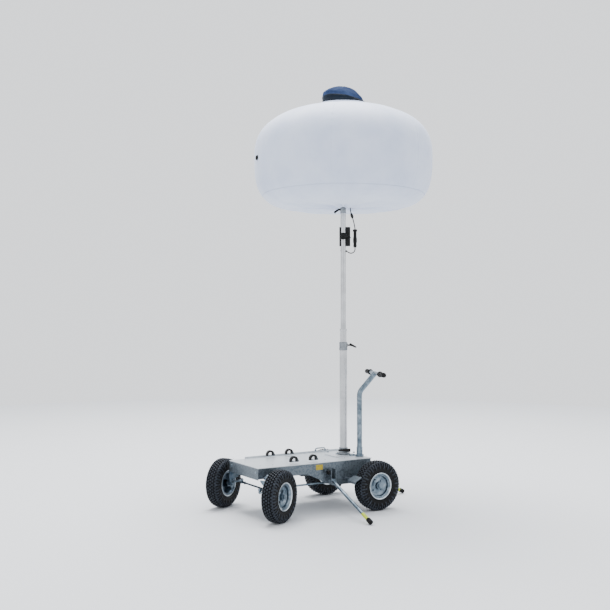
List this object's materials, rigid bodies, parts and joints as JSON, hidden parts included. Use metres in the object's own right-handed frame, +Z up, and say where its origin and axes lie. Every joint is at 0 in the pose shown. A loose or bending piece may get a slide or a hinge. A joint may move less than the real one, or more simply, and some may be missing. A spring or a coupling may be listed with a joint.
{
  "type": "led lighting balloon on a steerable trolley",
  "caption": "Inflated fabric light balloon on a telescopic mast, carried by a low steel trolley with pneumatic tyres, steering tiller and three fold-down legs.",
  "frame": {"origin": "on the ground under the middle of the whole outline's bounding box", "axes": "+X forward towards the steered wheels, +Y to the trolley's left, +Z up along the mast"},
  "size_m": [1.565, 1.3596, 2.925],
  "materials": {
    "galvanised_sheet": "galvanised, satin",
    "zinc_steel": "bright zinc plated",
    "mast_aluminium": "mill finish aluminium",
    "black_plastic": "black moulded nylon",
    "tyre_rubber": "black tyre rubber",
    "foot_rubber": "black rubber",
    "cable_rubber": "black cable sheath",
    "envelope_fabric": "coated white balloon cloth",
    "hood_fabric": "navy blue nylon cloth",
    "lamp_housing": "painted lamp housing"
  },
  "bodies": {
    "chassis": {"deck_plate": "galvanised_sheet", "front_apron": "galvanised_sheet", "rear_apron": "galvanised_sheet", "side_panel_left": "galvanised_sheet", "side_panel_right": "galvanised_sheet", "rear_axle": "zinc_steel", "kingpin_housing_left": "zinc_steel", "kingpin_housing_right": "zinc_steel", "mast_base_plate": "galvanised_sheet", "mast_foot": "mast_aluminium", "mast_foot_lever": "black_plastic", "mast_lower_tube": "mast_aluminium", "mast_collar": "mast_aluminium", "mast_collar_lever": "black_plastic", "tiller_boss": "zinc_steel", "deck_clamp_front_left": "black_plastic", "deck_clamp_front_right": "black_plastic", "deck_clamp_rear_left": "black_plastic", "deck_clamp_rear_right": "black_plastic", "deck_bail": "zinc_steel", "deck_latch": "zinc_steel", "leg_bracket_left": "galvanised_sheet", "leg_bracket_right": "galvanised_sheet", "leg_bracket_rear": "galvanised_sheet"},
    "knuckle_left": {"knuckle_left": "zinc_steel"},
    "knuckle_right": {"knuckle_right": "zinc_steel"},
    "wheel_front_left": {"tyre_front_left": "tyre_rubber", "rim_front_left": "zinc_steel"},
    "wheel_front_right": {"tyre_front_right": "tyre_rubber", "rim_front_right": "zinc_steel"},
    "wheel_rear_left": {"tyre_rear_left": "tyre_rubber", "rim_rear_left": "zinc_steel"},
    "wheel_rear_right": {"tyre_rear_right": "tyre_rubber", "rim_rear_right": "zinc_steel"},
    "tie_rod": {"tie_rod": "zinc_steel"},
    "drag_link": {"drag_link": "zinc_steel"},
    "tiller": {"tiller_tube": "zinc_steel", "tiller_grip_left": "black_plastic", "tiller_grip_right": "black_plastic"},
    "mast_middle": {"mast_middle_tube": "mast_aluminium"},
    "mast_upper": {"mast_upper_tube": "mast_aluminium", "balloon_collar": "mast_aluminium", "balloon_lever": "black_plastic", "envelope": "envelope_fabric", "top_ring": "envelope_fabric", "hood": "hood_fabric", "lamp_head": "lamp_housing", "cable_bracket": "black_plastic", "cable_upper": "cable_rubber", "cable_joint": "black_plastic", "cable_middle": "cable_rubber", "cable_plug": "black_plastic", "cable_loop": "cable_rubber"},
    "leg_left": {"leg_tube_left": "zinc_steel", "leg_foot_left": "foot_rubber"},
    "leg_right": {"leg_tube_right": "zinc_steel", "leg_foot_right": "foot_rubber"},
    "leg_rear": {"leg_tube_rear": "zinc_steel", "leg_foot_rear": "foot_rubber"}
  },
  "joints": [
    {"name": "tiller_steer", "type": "hinge", "parent": "chassis", "child": "tiller", "pos_m": [-0.21754, 0.108, 0.4], "axis": [0, 0, 1], "range_deg": [0, 48]},
    {"name": "knuckle_left_steer", "type": "hinge", "parent": "chassis", "child": "knuckle_left", "pos_m": [0.58096, 0.236, 0.268], "axis": [0, 0, 1], "range_deg": [-60, 0]},
    {"name": "knuckle_right_steer", "type": "hinge", "parent": "chassis", "child": "knuckle_right", "pos_m": [0.58096, -0.236, 0.268], "axis": [0, 0, 1], "range_deg": [-60, 0]},
    {"name": "tie_rod_pivot", "type": "hinge", "parent": "knuckle_left", "child": "tie_rod", "pos_m": [0.49436, 0.186, 0.16], "axis": [0, 0, 1], "range_deg": [0, 60]},
    {"name": "drag_link_pivot", "type": "hinge", "parent": "tiller", "child": "drag_link", "pos_m": [-0.18754, 0.17538, 0.1915], "axis": [0, 0, 1], "range_deg": [-48, 0]},
    {"name": "wheel_front_left_spin", "type": "hinge", "parent": "knuckle_left", "child": "wheel_front_left", "pos_m": [0.53871, 0.30918, 0.165], "axis": [-0.5, 0.866, 0], "continuous": true},
    {"name": "wheel_front_right_spin", "type": "hinge", "parent": "knuckle_right", "child": "wheel_front_right", "pos_m": [0.62321, -0.30918, 0.165], "axis": [-0.5, 0.866, 0], "continuous": true},
    {"name": "wheel_rear_left_spin", "type": "hinge", "parent": "chassis", "child": "wheel_rear_left", "pos_m": [-0.21004, 0.3205, 0.165], "axis": [0, 1, 0], "continuous": true},
    {"name": "wheel_rear_right_spin", "type": "hinge", "parent": "chassis", "child": "wheel_rear_right", "pos_m": [-0.21004, -0.3205, 0.165], "axis": [0, 1, 0], "continuous": true},
    {"name": "mast_middle_slide", "type": "slide", "parent": "chassis", "child": "mast_middle", "axis": [0, 0, 1], "range_m": [0, 0.6]},
    {"name": "mast_upper_slide", "type": "slide", "parent": "mast_middle", "child": "mast_upper", "axis": [0, 0, 1], "range_m": [-0.5, 0]},
    {"name": "leg_left_fold", "type": "hinge", "parent": "chassis", "child": "leg_left", "pos_m": [0.09246, 0.236, 0.212], "axis": [1, 0, 0], "range_deg": [0, 114]},
    {"name": "leg_right_fold", "type": "hinge", "parent": "chassis", "child": "leg_right", "pos_m": [0.09246, -0.236, 0.212], "axis": [-1, 0, 0], "range_deg": [0, 114]},
    {"name": "leg_rear_fold", "type": "hinge", "parent": "chassis", "child": "leg_rear", "pos_m": [-0.27854, -0.04, 0.212], "axis": [0, 1, 0], "range_deg": [0, 114]}
  ],
  "couplings": [
    {"joint": "knuckle_left_steer", "follows": "tiller_steer", "ratio": -1.25},
    {"joint": "knuckle_right_steer", "follows": "tiller_steer", "ratio": -1.25},
    {"joint": "tie_rod_pivot", "follows": "tiller_steer", "ratio": 1.25},
    {"joint": "drag_link_pivot", "follows": "tiller_steer", "ratio": -1}
  ]
}
